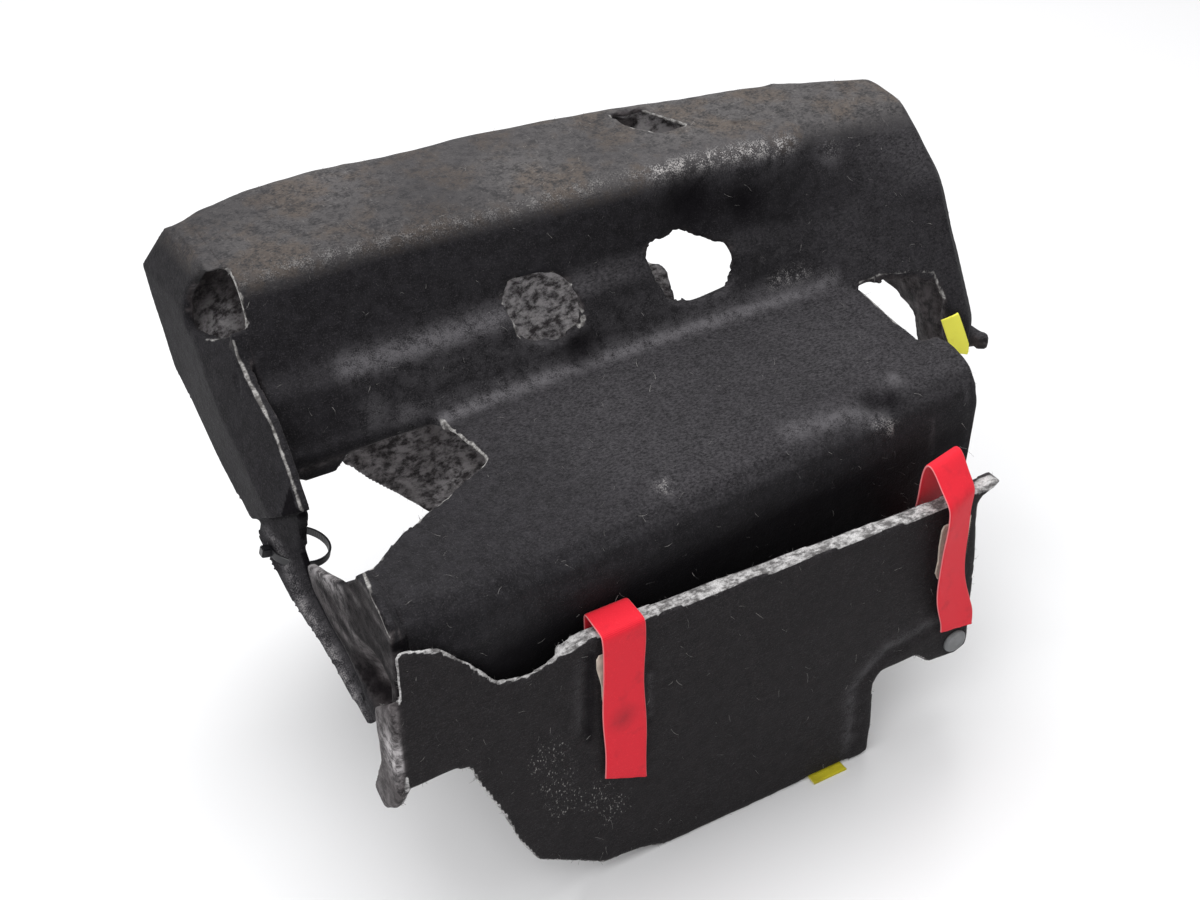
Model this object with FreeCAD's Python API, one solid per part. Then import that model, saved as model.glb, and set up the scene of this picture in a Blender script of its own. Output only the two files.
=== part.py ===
import FreeCAD, Part
import os
import math
from FreeCAD import Vector

os.makedirs("parts", exist_ok=True)

# Acoustic engine cover of moulded felt. Sizes are in mm.
# Construction frame: x along the length, y=0 on the outer face of the front panel, z=0 on the floor.
# The finished part is shifted at the end so that its origin is the bottom centre of its box.

# Moulding: levels, depths and ends.
WALL = 6.5
FLAP_T = 5.5
WEB_T = 5.0
TOP_Z = 312.0
LEDGE_DROP = 56.0
TERRACE_DROP = 90.0
FRONT_DROP = 84.0
CHEEK_DROP = 38.0
REAR_Y = 280.0
FACE_Y = 184.0
LEDGE_Y = 163.0
CREASE_Y = 150.0
FRONT_Y = 26.0
CHEEK_Y = 97.0
LEFT_X = -106.0
MID_X = 110.0
TERRACE_END_X = 264.0
CHEEK_START_X = 214.0
CHEEK_END_X = 313.0

# Levels that follow from the top of the hood.
LEDGE_Z = TOP_Z - LEDGE_DROP
TERRACE_Z = TOP_Z - TERRACE_DROP
CREASE_Z = TERRACE_Z
FRONT_DROP_Z = TERRACE_Z - FRONT_DROP
CHEEK_LOW_Z = TERRACE_Z - CHEEK_DROP

# Front panel.
PANEL_T = 9.5
PANEL_THIN_T = 5.0
PANEL_TOP_Z = 182.0
PANEL_END_X = 247.0
PANEL_STEP_X = -22.0
NOTCH_X = 182.0
NOTCH_Z = 65.0

# Straps, pads and small parts.
STRAP_W = 25.0
STRAP_T = 1.6
STRAP_GAP = 0.1
STRAP_L_X = 12.0
STRAP_L_LEAN = 1.7
STRAP_L_LOW_Z = 75.0
STRAP_R_X = 219.5
STRAP_R_LEAN = 7.5
STRAP_R_LOW_Z = 82.0
PAD_W = 22.0
PAD_H = 40.0
PAD_T = 1.4
PAD_SHIFT = -4.5
YELLOW_W = 23.0
YELLOW_T = 1.2
YELLOW_X = 151.5
FLANGE_T = 3.0
TIE_R = 15.4
TIE_W = 4.4
TIE_T = 1.3
TIE_TILT = 14.5
TIE_HEAD = 5.2
TIE_GAP = 0.25
STEM_R = 2.7
STEM_L = 19.0
RIB_R = 3.9
RIB_PITCH = 2.2
RIBS = 6
BUTTON_R = 7.5
BUTTON_T = 2.0
BUTTON_EDGE = 0.8

ROUND_STEPS = 3
STEM_SIDES = 12
PAST = 20.0


def corner_reach(before, at, after, radius):
    """How far the rounding of one corner runs along its two sides."""
    half = (before - at).getAngle(after - at) / 2.0
    longest = 0.45 * min((before - at).Length, (after - at).Length)
    return min(max(radius / math.tan(half), 0.6), longest)


def round_corner(before, at, after, radius):
    """Points of the faceted rounding of one corner."""
    reach = corner_reach(before, at, after, radius)
    start = at + (before - at).normalize() * reach
    end = at + (after - at).normalize() * reach
    points = []
    for step in range(ROUND_STEPS + 1):
        t = step / ROUND_STEPS
        points.append(start * (1 - t) ** 2 + at * 2 * t * (1 - t) + end * t ** 2)
    return points


def rounded_polygon(points, radii):
    """Closed polygon through the corners, each rounded by its radius where it has one."""
    ring = []
    for i, radius in enumerate(radii):
        if radius:
            ring.extend(round_corner(points[i - 1], points[i], points[(i + 1) % len(points)], radius))
        else:
            ring.append(points[i])
    return Part.makePolygon(ring + [ring[0]])


def inset_corners(corners, depth):
    """Corners of an anticlockwise outline moved inwards by depth."""
    count = len(corners)
    moved = []
    for i in range(count):
        p0 = corners[i - 1]
        p1 = corners[i]
        p2 = corners[(i + 1) % count]
        d1 = (p1[0] - p0[0], p1[1] - p0[1])
        d2 = (p2[0] - p1[0], p2[1] - p1[1])
        l1 = math.hypot(*d1)
        l2 = math.hypot(*d2)
        n1 = (-d1[1] / l1, d1[0] / l1)
        n2 = (-d2[1] / l2, d2[0] / l2)
        turn = 1.0 + n1[0] * n2[0] + n1[1] * n2[1]
        shift = ((n1[0] + n2[0]) / turn * depth, (n1[1] + n2[1]) / turn * depth)
        moved.append((p1[0] + shift[0], p1[1] + shift[1]))
    return moved


def profile(x, corners, radii, depth, floor):
    """Polygon of one cross profile at x, inset by depth, with its lower side at floor."""
    if depth:
        corners = inset_corners(corners, depth)
    points = []
    for i, (y, z) in enumerate(corners):
        low = i == 0 or i == len(corners) - 1
        points.append(Vector(x, y, floor if low else z))
    inner = []
    for radius in radii:
        if radius > 0:
            inner.append(max(radius - depth, 1.5))
        elif radius < 0:
            inner.append(depth - radius)
        else:
            inner.append(0)
    return rounded_polygon(points, inner)


def loft_of(stations, radii, depth, floor, first=0.0, last=0.0):
    """Body through the stations. The end stations are moved along x by first and last."""
    wires = []
    for i, (x, corners) in enumerate(stations):
        if i == 0:
            x += first
        if i == len(stations) - 1:
            x += last
        wires.append(profile(x, corners, radii, depth, floor))
    return Part.makeLoft(wires, True, True)


def outline_prism(corners, plane, start, end, radius=0.0):
    """Solid with a flat outline in the plane xz, yz or xy, from start to end along the third axis."""
    points = []
    for a, b in corners:
        if plane == "xz":
            points.append(Vector(a, start, b))
        elif plane == "yz":
            points.append(Vector(start, a, b))
        else:
            points.append(Vector(a, b, start))
    run = {"xz": Vector(0, end - start, 0), "yz": Vector(end - start, 0, 0), "xy": Vector(0, 0, end - start)}
    wire = rounded_polygon(points, [radius] * len(points))
    return Part.Face(wire).extrude(run[plane])


def tape(path, x_mid, width, thick, bend):
    """Flat tape of one width that follows a path of (y, z) points, with rounded bends."""
    side = []
    for i, (y, z) in enumerate(path):
        before = path[max(i - 1, 0)]
        after = path[min(i + 1, len(path) - 1)]
        a = math.atan2(z - before[1], y - before[0]) if i else math.atan2(after[1] - z, after[0] - y)
        b = math.atan2(after[1] - z, after[0] - y) if i < len(path) - 1 else a
        dy = math.cos(a) + math.cos(b)
        dz = math.sin(a) + math.sin(b)
        run = math.hypot(dy, dz)
        lean = math.cos((a - b) / 2.0)
        if abs(a - b) >= math.pi:
            lean = -lean
        scale = thick / max(0.3, lean)
        side.append((y + dz / run * scale, z - dy / run * scale))
    corners = list(path) + side[::-1]
    ends = (0, len(path) - 1, len(path), 2 * len(path) - 1)
    rounds = [0 if i in ends else bend for i in range(len(corners))]
    points = [Vector(x_mid - width / 2.0, y, z) for y, z in corners]
    return Part.Face(rounded_polygon(points, rounds)).extrude(Vector(width, 0, 0))


def ribbon(rows, thick, ridge):
    """Felt strip through straight rows, bent along its ridge line."""
    wires = []
    for front, rear, bulge in rows:
        a = Vector(*front)
        b = Vector(*rear)
        mid = a + (b - a) * ridge - Vector(bulge, 0, 0)
        inner = Vector(thick, 0, 0)
        corners = [a, mid, b, b + inner, mid + inner, a + inner]
        wires.append(Part.makePolygon(corners + [a]))
    return Part.makeLoft(wires, True, True)


# Main shell: hood, ledge and terrace in one profile, varied along x.
# Corners: rear foot, rear top, front top, foot of the face, ledge, crease, terrace edge, front foot.
# The rear wall draws in towards the face: each row gives the share of the full depth that is left.
def hood_row(x, rear, face, foot, ledge, crease, edge, front):
    return (x, [
        (FACE_Y + rear * (REAR_Y - FACE_Y), 0),
        (FACE_Y + rear * (REAR_Y - FACE_Y), TOP_Z),
        (FACE_Y + face, TOP_Z),
        (LEDGE_Y + foot[0], LEDGE_Z + foot[1]),
        (LEDGE_Y, LEDGE_Z + ledge),
        (CREASE_Y + crease[0], CREASE_Z + crease[1]),
        (front, TERRACE_Z + edge),
        (front, 0),
    ])


HOOD = [
    hood_row(LEFT_X, 0.8333, 8, (11, 6), 0, (0, 0), 18, PANEL_THIN_T),
    hood_row(LEFT_X + 46, 0.9896, 10, (11, 4), -2, (0, 0), 10, PANEL_THIN_T),
    hood_row(LEFT_X + 86, 1.0, 12, (11, 4), -2, (0, 0), 3, FRONT_Y - 12),
    hood_row(MID_X, 0.8958, 0, (11, 12), 4, (1, 3), 0, FRONT_Y),
    hood_row(TERRACE_END_X - 39, 0.6667, -4, (5, 6), -4, (3, 6), 0, FRONT_Y + 10),
    hood_row(TERRACE_END_X, 0.5417, -3, (5, 6), -4, (3, 6), 0, FRONT_Y + 13),
]
HOOD_R = [0, 12, 18, -12, 9, -12, 24, 0]


def front_y(x):
    """Depth of the outer face of the front drop at x."""
    for (x0, near), (x1, far) in zip(HOOD, HOOD[1:]):
        if x <= x1:
            break
    return near[-1][0] + (far[-1][0] - near[-1][0]) * (x - x0) / (x1 - x0)


# Cheek at the right end. Corners: rear foot, rear top, front top, brow, lower edge, front foot.
def cheek_row(x, rear, top, face, brow, edge):
    return (x, [
        (FACE_Y + rear * (REAR_Y - FACE_Y), 0),
        (FACE_Y + rear * (REAR_Y - FACE_Y), TOP_Z + top),
        (FACE_Y + face, TOP_Z + top),
        (CHEEK_Y + brow[0], TOP_Z + brow[1]),
        (CHEEK_Y + edge[0], TERRACE_Z + edge[1]),
        (CHEEK_Y + edge[0], 0),
    ])


CHEEK = [
    cheek_row(CHEEK_START_X, 0.6771, -1, 0, (74, -50), (59, 6)),
    cheek_row(CHEEK_END_X - 59, 0.5625, 0, -3, (63, -46), (31, 4)),
    cheek_row(CHEEK_END_X - 25, 0.4375, 0, -2, (49, -34), (15, 4)),
    cheek_row(CHEEK_END_X - 8, 0.3646, 0, -2, (44, -30), (0, -18)),
    cheek_row(CHEEK_END_X, 0.2917, -9, 2, (49, -36), (7, -18)),
]
CHEEK_R = [0, 12, 20, 40, 18, 0]

hood = loft_of(HOOD, HOOD_R, 0.0, 0.0)
hood_space = loft_of(HOOD, HOOD_R, WALL, -PAST, -PAST, -WALL)
cheek = loft_of(CHEEK, CHEEK_R, 0.0, CHEEK_LOW_Z)
cheek_space = loft_of(CHEEK, CHEEK_R, WALL, -PAST, 0.0, -WALL)
shell = hood.fuse(cheek).cut(hood_space).cut(cheek_space)

# Holes of the front face, given from its middle and from the ledge.
HOLE_SMALL = [(-69, 8), (-64, 16), (-53, 17), (-38, 14), (-31, 8), (-27, -6), (-30, -13), (-41, -17),
              (-56, -15), (-67, -9)]
HOLE_LARGE = [(18, 10), (23, 16), (33, 16), (41, 19), (54, 11), (69, 2), (70, -12), (64, -19), (48, -19),
              (32, -18), (25, -13), (20, 0)]
for outline, radius in ((HOLE_SMALL, 4.0), (HOLE_LARGE, 2.5)):
    outline = [(MID_X + x, LEDGE_Z + z) for x, z in outline]
    shell = shell.cut(outline_prism(outline, "xz", CREASE_Y - 1.5 * PAST, FACE_Y + PAST, radius))

# Opening at the left end of the terrace and the corner cut at its right end.
TERRACE_OPENING = [(-24, -1), (-24, -110), (10, -104), (33, -84), (61, -68), (100, -46), (93, -1)]
outline = [(LEFT_X + x, CREASE_Y + y) for x, y in TERRACE_OPENING]
shell = shell.cut(outline_prism(outline, "xy", FRONT_DROP_Z - PAST, LEDGE_Z + 14, 4.0))
TERRACE_CORNER = [(-12, 26), (24, 29), (40, -58), (4, -46), (-2, -24), (-8, -6)]
outline = [(TERRACE_END_X + x, CHEEK_Y + y) for x, y in TERRACE_CORNER]
shell = shell.cut(outline_prism(outline, "xy", -PAST, TERRACE_Z + 8, 1.0))
TERRACE_POST = [(-WALL - 2, 16), (12, 16), (12, 40), (-WALL - 2, 40)]
outline = [(TERRACE_END_X + x, CHEEK_Y + y) for x, y in TERRACE_POST]
shell = shell.cut(outline_prism(outline, "xy", -PAST, TERRACE_Z - WALL + 2))
CHEEK_CUT = [(-63, 8), (-32, 9), (-25, 5), (-20, -3), (-19, -20), (-15, -40), (-15, -90), (-63, -90)]
outline = [(CHEEK_END_X + x, TERRACE_Z + z) for x, z in CHEEK_CUT]
shell = shell.cut(outline_prism(outline, "xz", CHEEK_Y - PAST, CHEEK_Y + 44, 2.0))
CHEEK_SKIRT = [(12, 6), (72, 6), (71, -2), (57, -5), (54, -13), (50, -24), (20, -24), (12, -12)]
outline = [(CHEEK_Y + y, CHEEK_LOW_Z + z) for y, z in CHEEK_SKIRT]
shell = shell.fuse(outline_prism(outline, "yz", CHEEK_END_X - WALL + 0.5, CHEEK_END_X - 0.5, 2.0))

# Slit in the top, window and slanted cut in the rear wall, and the open front foot.
TOP_SLIT = [(39, -32), (58, -34), (67, -54), (73, -65), (54, -63), (41, -46)]
outline = [(MID_X + x, REAR_Y + y) for x, y in TOP_SLIT]
shell = shell.cut(outline_prism(outline, "xy", TOP_Z - PAST, TOP_Z + PAST, 2.0))
REAR_WINDOW = [(-90, -76), (-90, -109), (-73, -115), (-66, -144), (-60, -162), (-50, -TOP_Z - PAST),
               (66, -TOP_Z - PAST), (66, -76)]
outline = [(TERRACE_END_X + x, TOP_Z + z) for x, z in REAR_WINDOW]
shell = shell.cut(outline_prism(outline, "xz", REAR_Y - 74, REAR_Y + PAST, 5.0))
REAR_CUT = [(-24, -80), (-24, -TOP_Z - PAST), (184, -TOP_Z - PAST), (142, -269), (86, -205), (44, -154),
            (14, -107), (6, -80)]
outline = [(LEFT_X + x, TOP_Z + z) for x, z in REAR_CUT]
shell = shell.cut(outline_prism(outline, "xz", REAR_Y - 40, REAR_Y + PAST, 8.0))
foot_run = CHEEK_END_X - LEFT_X + 2 * PAST
foot_depth = LEDGE_Y + 2 * PAST
front_foot = Part.makeBox(foot_run, foot_depth, FRONT_DROP_Z + PAST, Vector(LEFT_X - PAST, -PAST / 4, -PAST))
shell = shell.cut(front_foot)

# Left end: flap from the top edge, stay running down to the front, and the front web.
# Each row gives the front and the rear corner and how far the ridge between them stands out.
RIDGE = 0.42
FLAP = [
    ((LEFT_X, FACE_Y + 6, TOP_Z - 3), (LEFT_X - 4, REAR_Y - 18, TOP_Z - 3), 0.5),
    ((LEFT_X + 1, FACE_Y + 8, TOP_Z - 32), (LEFT_X - 16, REAR_Y - 6, TOP_Z - 28), 5.0),
    ((LEFT_X + 2, CREASE_Y - 4, LEDGE_Z), (LEFT_X - 16, REAR_Y - 36, LEDGE_Z - 22), 6.0),
    ((LEFT_X + 2, CREASE_Y - 21, LEDGE_Z - 17), (LEFT_X - 15, REAR_Y - 84, LEDGE_Z - 44), 6.0),
    ((LEFT_X + 2, CREASE_Y - 37, CREASE_Z - 1), (LEFT_X - 14, CREASE_Y + 2, CREASE_Z - 27), 5.0),
]
STAY = [
    ((LEFT_X + 4, CREASE_Y - 28, CREASE_Z - 8), (LEFT_X - 10, CREASE_Y, CREASE_Z - 26), 0.0),
    ((LEFT_X + 1, CREASE_Y - 24, FRONT_DROP_Z + 49), (LEFT_X - 11, CREASE_Y + 5, FRONT_DROP_Z + 42), 0.0),
    ((LEFT_X, CREASE_Y - 38, FRONT_DROP_Z + 33), (LEFT_X - 10, CREASE_Y - 33, FRONT_DROP_Z + 25), 0.0),
    ((LEFT_X, CREASE_Y - 66, FRONT_DROP_Z + 24), (LEFT_X - 8, CREASE_Y - 59, FRONT_DROP_Z + 17), 0.0),
    ((LEFT_X, PANEL_THIN_T + 53, FRONT_DROP_Z + 18), (LEFT_X - 6, PANEL_THIN_T + 57, FRONT_DROP_Z + 7), 0.0),
    ((LEFT_X, PANEL_THIN_T + 32, FRONT_DROP_Z + 13), (LEFT_X - 4, PANEL_THIN_T + 32, FRONT_DROP_Z + 3), 0.0),
]
WEB = [(1, 0), (1, 94), (19, 102), (35, 98), (61, 74), (85, 62), (109, 50), (103, 38), (71, 30), (47, 19),
       (25, 6)]
WEB = [(PANEL_THIN_T + y, FRONT_DROP_Z + z) for y, z in WEB]
TONGUE = [(3, 4), (8, -8), (18, -14), (34, -15), (42, -6), (56, 4)]
TONGUE = [(LEFT_X + x, CREASE_Z + z) for x, z in TONGUE]
RELIEF = [(6, 4), (30, -4), (40, -22), (38, -40), (13, -36), (-4, -22)]
RELIEF = [(FACE_Y + y, TOP_Z + z) for y, z in RELIEF]

shell = shell.fuse(ribbon(FLAP, FLAP_T, RIDGE))
shell = shell.fuse(ribbon(STAY, FLAP_T, RIDGE))
shell = shell.fuse(outline_prism(WEB, "yz", LEFT_X, LEFT_X + WEB_T, 4.0))
shell = shell.fuse(outline_prism(TONGUE, "xz", CREASE_Y + 0.5, CREASE_Y + 6, 3.0))
shell = shell.cut(outline_prism(RELIEF, "yz", LEFT_X - 1.5 * PAST, LEFT_X + 9, 5.0))

# Two-layer flange at the lower front corner of the cheek.
FLANGE = [(-4, 9), (0, 0), (5, -5), (8, 0), (6, 12), (0, 24), (-5, 24)]
FLANGE = [(CHEEK_END_X + x, CHEEK_Y + y) for x, y in FLANGE]
for rise in (0.0, 1.8 * FLANGE_T):
    low = CHEEK_LOW_Z + rise
    shell = shell.fuse(outline_prism(FLANGE, "xy", low, low + FLANGE_T, 2.0))

# Cable tie: loose loop through a slot in the stay, with its head on the outer side.
TIE_AT = Vector(LEFT_X + 6.5, CREASE_Y - 7.7, FRONT_DROP_Z + 35)


def tie_loop(gap):
    """Band and head of the tie, grown by gap."""
    low = TIE_AT - Vector(0, 0, gap)
    band = Part.makeCylinder(TIE_R + TIE_T + gap, TIE_W + 2 * gap, low)
    band = band.cut(Part.makeCylinder(TIE_R - gap, TIE_W + 2 * gap, low))
    head_at = TIE_AT - Vector(TIE_R + TIE_HEAD + TIE_T / 2 + gap, TIE_HEAD / 2 + gap, TIE_T / 2 + gap)
    head = Part.makeBox(TIE_HEAD + 2 * gap, TIE_HEAD + 2 * gap, TIE_W + TIE_T + 2 * gap, head_at)
    loop = band.fuse(head).removeSplitter()
    loop.rotate(TIE_AT, Vector(0, 1, 0), TIE_TILT)
    return loop


cable_tie = tie_loop(0.0)
main_shell = shell.cut(tie_loop(TIE_GAP)).removeSplitter()

# Front panel: flat felt panel with a thick rim, thin pressed left end, strap relief and a side tab.
PANEL = [
    (LEFT_X, PANEL_TOP_Z - 52), (LEFT_X + 24, PANEL_TOP_Z - 51), (LEFT_X + 33, PANEL_TOP_Z - 55),
    (LEFT_X + 38, PANEL_TOP_Z - 70), (LEFT_X + 48, PANEL_TOP_Z - 94), (LEFT_X + 60, 53), (LEFT_X + 69, 36),
    (LEFT_X + 89, 22), (LEFT_X + 109, 9), (LEFT_X + 130, 7), (LEFT_X + 150, 0),
    (YELLOW_X - YELLOW_W / 2 - 3.5, 0), (YELLOW_X - YELLOW_W / 2 - 1.5, 1.5 * YELLOW_T),
    (YELLOW_X + YELLOW_W / 2 + 1.5, 1.5 * YELLOW_T), (YELLOW_X + YELLOW_W / 2 + 3.5, 0),
    (NOTCH_X, 0), (NOTCH_X, NOTCH_Z - 37), (NOTCH_X - 2, NOTCH_Z - 7), (NOTCH_X + 2, NOTCH_Z),
    (PANEL_END_X - 38, NOTCH_Z), (PANEL_END_X - 28, NOTCH_Z - 10), (PANEL_END_X - 8, NOTCH_Z - 12),
    (PANEL_END_X, NOTCH_Z - 8), (PANEL_END_X - 2, NOTCH_Z + 27), (PANEL_END_X - 4, NOTCH_Z + 59),
    (PANEL_END_X - 9, PANEL_TOP_Z - 14), (PANEL_END_X + 5, PANEL_TOP_Z - 8),
    (PANEL_END_X + 4, PANEL_TOP_Z - 3), (PANEL_END_X - 11, PANEL_TOP_Z - 6),
    (PANEL_END_X - 33, PANEL_TOP_Z - 9), (MID_X - 10, PANEL_TOP_Z - 4),
    (LEFT_X + 100, PANEL_TOP_Z), (LEFT_X + 86, PANEL_TOP_Z - 3), (LEFT_X + 66, PANEL_TOP_Z - 8),
    (LEFT_X + 50, PANEL_TOP_Z - 4), (LEFT_X + 36, PANEL_TOP_Z + 15), (LEFT_X + 22, PANEL_TOP_Z + 31),
    (LEFT_X, PANEL_TOP_Z + 40),
]
panel = outline_prism(PANEL, "xz", 0, PANEL_T, 4.0)
thin_run = PANEL_STEP_X - LEFT_X + PAST
thin_end = Part.makeBox(thin_run, PANEL_T, 2 * PANEL_TOP_Z, Vector(LEFT_X - PAST, PANEL_THIN_T, -PAST))
TAB = [(0, -54), (0, 10), (14, -4), (24, -14), (21, -47), (34, -78), (22, -84), (8, -70)]
TAB = [(y, PANEL_TOP_Z + z) for y, z in TAB]
tab = outline_prism(TAB, "yz", LEFT_X - PANEL_THIN_T, LEFT_X, 3.0)
front_panel = panel.cut(thin_end).fuse(tab).removeSplitter()

# Red hook-and-loop straps: from the front drop, over the panel rim and down its outer face.
STRAP_Y = -PAD_T - STRAP_GAP
left_y = front_y(STRAP_L_X - STRAP_W / 2) - STRAP_T - STRAP_GAP
right_y = front_y(STRAP_R_X - STRAP_W / 2) - STRAP_T - STRAP_GAP
STRAP_L_PATH = [(left_y, -32), (left_y, 4), (STRAP_Y, 2), (STRAP_Y, -140)]
STRAP_R_PATH = [(right_y, -44), (right_y, -30), (PANEL_T + 3.5, 18), (-4, 1), (-6, -20), (STRAP_Y, -42),
                (STRAP_Y, -60), (STRAP_Y - 2.5, -82), (STRAP_Y - 1, -140)]


def strap(path, x_mid, bend, lean, low, slant):
    """Strap hung from the panel rim, turned about it by lean and cut off aslant at low."""
    path = [(y, PANEL_TOP_Z + z) for y, z in path]
    band = tape(path, x_mid, STRAP_W, STRAP_T, bend)
    band.rotate(Vector(x_mid, 0, PANEL_TOP_Z), Vector(0, 1, 0), -lean)
    end = [(-2 * STRAP_W, 2 * slant), (2 * STRAP_W, -2 * slant), (2 * STRAP_W, -low), (-2 * STRAP_W, -low)]
    end = [(x_mid + x, low + z) for x, z in end]
    return band.cut(outline_prism(end, "xz", -PAST, PANEL_T))


red_strap_left = strap(STRAP_L_PATH, STRAP_L_X, 2.0, STRAP_L_LEAN, STRAP_L_LOW_Z, 6.5)
red_strap_right = strap(STRAP_R_PATH, STRAP_R_X, 6.0, STRAP_R_LEAN, STRAP_R_LOW_Z, 3.0)

# Cream hook pads on the panel, a little to the left of the straps.
pad_l_x = STRAP_L_X + PAD_SHIFT - PAD_W / 2
pad_r_x = STRAP_R_X + 50 * math.tan(math.radians(STRAP_R_LEAN)) + PAD_SHIFT - PAD_W / 2
strap_pad_left = Part.makeBox(PAD_W, PAD_T, PAD_H, Vector(pad_l_x, -PAD_T, PANEL_TOP_Z - 58))
strap_pad_right = Part.makeBox(PAD_W, PAD_T, PAD_H, Vector(pad_r_x, -PAD_T, PANEL_TOP_Z - 70))

# Yellow strap ends: one lies on the cheek, one runs under the bottom edge of the panel.
cheek_grown = loft_of(CHEEK, CHEEK_R, -YELLOW_T, CHEEK_LOW_Z, 0.0, YELLOW_T)
YELLOW_PATCH = [(-20.9, -16.6), (-14, -10.5), (-5.4, -39), (-14, -39.5)]
outline = [(CHEEK_END_X + x, TERRACE_Z + z) for x, z in YELLOW_PATCH]
patch = outline_prism(outline, "xz", CHEEK_Y - PAST, CHEEK_Y + PAST)
yellow_strap_right = cheek_grown.cut(cheek).common(patch).cut(main_shell)
YELLOW_PATH = [(PANEL_T + YELLOW_T, 38), (PANEL_T + YELLOW_T, 0), (-5, 0)]
yellow_strap_bottom = tape(YELLOW_PATH, YELLOW_X, YELLOW_W, YELLOW_T, 0.4)

# Push-in clip with ribbed stem, standing on the inner face of the stay.
STEM_AT = Vector(LEFT_X, PANEL_THIN_T + 45, FRONT_DROP_Z + 11)
steps = [(0.0, STEM_R)]
for rib in range(RIBS):
    foot = 4.5 + rib * RIB_PITCH
    steps += [(foot, STEM_R), (foot + 0.3, RIB_R), (foot + 1.5, STEM_R)]
steps += [(STEM_L, STEM_R), (STEM_L + 1.5, STEM_R / 4)]
rings = []
for x, radius in steps:
    ring = [Vector(x, radius * math.cos(a), radius * math.sin(a))
            for a in [2 * math.pi * k / STEM_SIDES for k in range(STEM_SIDES)]]
    rings.append(Part.makePolygon(ring + [ring[0]]))
fir_tree_clip = Part.makeLoft(rings, True, True)
fir_tree_clip.translate(STEM_AT)
fir_tree_clip = fir_tree_clip.cut(main_shell)

# Grey button at the lower right of the panel.
button_at = Vector(PANEL_END_X - 11, 0, NOTCH_Z)
panel_button = Part.makeCylinder(BUTTON_R, BUTTON_T, button_at, Vector(0, -1, 0))
panel_button = panel_button.makeChamfer(BUTTON_EDGE, [panel_button.Edges[0]])

pieces = {
    "main_shell": main_shell,
    "front_panel": front_panel,
    "red_strap_left": red_strap_left,
    "red_strap_right": red_strap_right,
    "strap_pad_left": strap_pad_left,
    "strap_pad_right": strap_pad_right,
    "yellow_strap_right": yellow_strap_right,
    "yellow_strap_bottom": yellow_strap_bottom,
    "cable_tie": cable_tie,
    "fir_tree_clip": fir_tree_clip,
    "panel_button": panel_button,
}
box = Part.makeCompound(list(pieces.values())).optimalBoundingBox(False)
origin = Vector(-(box.XMin + box.XMax) / 2.0, -(box.YMin + box.YMax) / 2.0, -box.ZMin)
print("origin shift", origin, box.XLength, box.YLength, box.ZLength)
for name, solid in pieces.items():
    solid.translate(origin)
    print(name, len(solid.Solids), round(solid.Volume), solid.isValid(), len(solid.Faces))
    solid.exportStep("parts/" + name + ".step")
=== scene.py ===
import bpy
import bmesh
import math
import numpy as np
from mathutils import Matrix, Vector
from mathutils.bvhtree import BVHTree
from mathutils.kdtree import KDTree


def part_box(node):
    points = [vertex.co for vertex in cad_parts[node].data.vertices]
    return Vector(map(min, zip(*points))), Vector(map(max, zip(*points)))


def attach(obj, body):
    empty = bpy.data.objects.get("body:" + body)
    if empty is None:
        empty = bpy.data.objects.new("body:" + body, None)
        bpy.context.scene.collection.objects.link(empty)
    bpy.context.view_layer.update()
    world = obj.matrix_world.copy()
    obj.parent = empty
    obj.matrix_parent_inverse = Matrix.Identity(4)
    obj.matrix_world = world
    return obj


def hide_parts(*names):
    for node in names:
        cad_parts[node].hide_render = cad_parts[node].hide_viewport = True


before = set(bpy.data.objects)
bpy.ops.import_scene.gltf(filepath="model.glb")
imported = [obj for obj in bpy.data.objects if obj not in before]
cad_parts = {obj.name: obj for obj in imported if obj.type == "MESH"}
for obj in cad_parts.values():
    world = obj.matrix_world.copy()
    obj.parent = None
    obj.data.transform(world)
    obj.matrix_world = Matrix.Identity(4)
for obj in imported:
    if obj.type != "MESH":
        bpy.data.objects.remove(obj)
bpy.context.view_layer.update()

# Main shell: thermoformed needle felt, pressed to a black skin outside with loose grey fibre inside.
# The holes and the outline are die-cut and pinched thin, so each cut edge shows a line of pale fibre.
# Hood, ledge, terrace, cheek, left flap and stay are one moulding.

# Places are in mm from the left end and the outer face of the front panel, on the floor.
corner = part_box("front_panel")[0]


def at(x, y, z):
    return Vector((corner.x + (x + 111.0) / 1000, corner.y + y / 1000, z / 1000))


def at_x(x):
    return at(x, 0, 0).x


def at_y(y):
    return at(0, y, 0).y


def in_scene(name, mesh):
    """New object of a finished mesh."""
    piece = bpy.data.objects.new(name, mesh)
    bpy.context.scene.collection.objects.link(piece)
    return piece


def built(name, shape):
    """New object of a bmesh, which is freed."""
    mesh = bpy.data.meshes.new(name)
    shape.to_mesh(mesh)
    shape.free()
    return in_scene(name, mesh)


def evaluated(piece):
    """Mesh of an object as its modifiers leave it."""
    depsgraph = bpy.context.evaluated_depsgraph_get()
    return bpy.data.meshes.new_from_object(piece.evaluated_get(depsgraph))


def most(*values):
    """The largest of the values at each point."""
    return np.maximum.reduce(values)


def lump(points, size, seed):
    """Smooth lumps from -0.5 to 0.5, about as wide as size, the same on every run."""
    p = points / size + seed * 7.31
    cell = np.floor(p)
    f = p - cell
    f = f * f * (3 - 2 * f)
    total = np.zeros(len(p))
    for dx in (0, 1):
        for dy in (0, 1):
            for dz in (0, 1):
                c = cell + (dx, dy, dz)
                h = np.sin(c @ (127.1, 311.7, 74.7) + seed * 53.3) * 43758.5453
                w = np.where(dx, f[:, 0], 1 - f[:, 0])
                w = w * np.where(dy, f[:, 1], 1 - f[:, 1])
                w = w * np.where(dz, f[:, 2], 1 - f[:, 2])
                total += w * (h - np.floor(h))
    return total - 0.5


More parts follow.
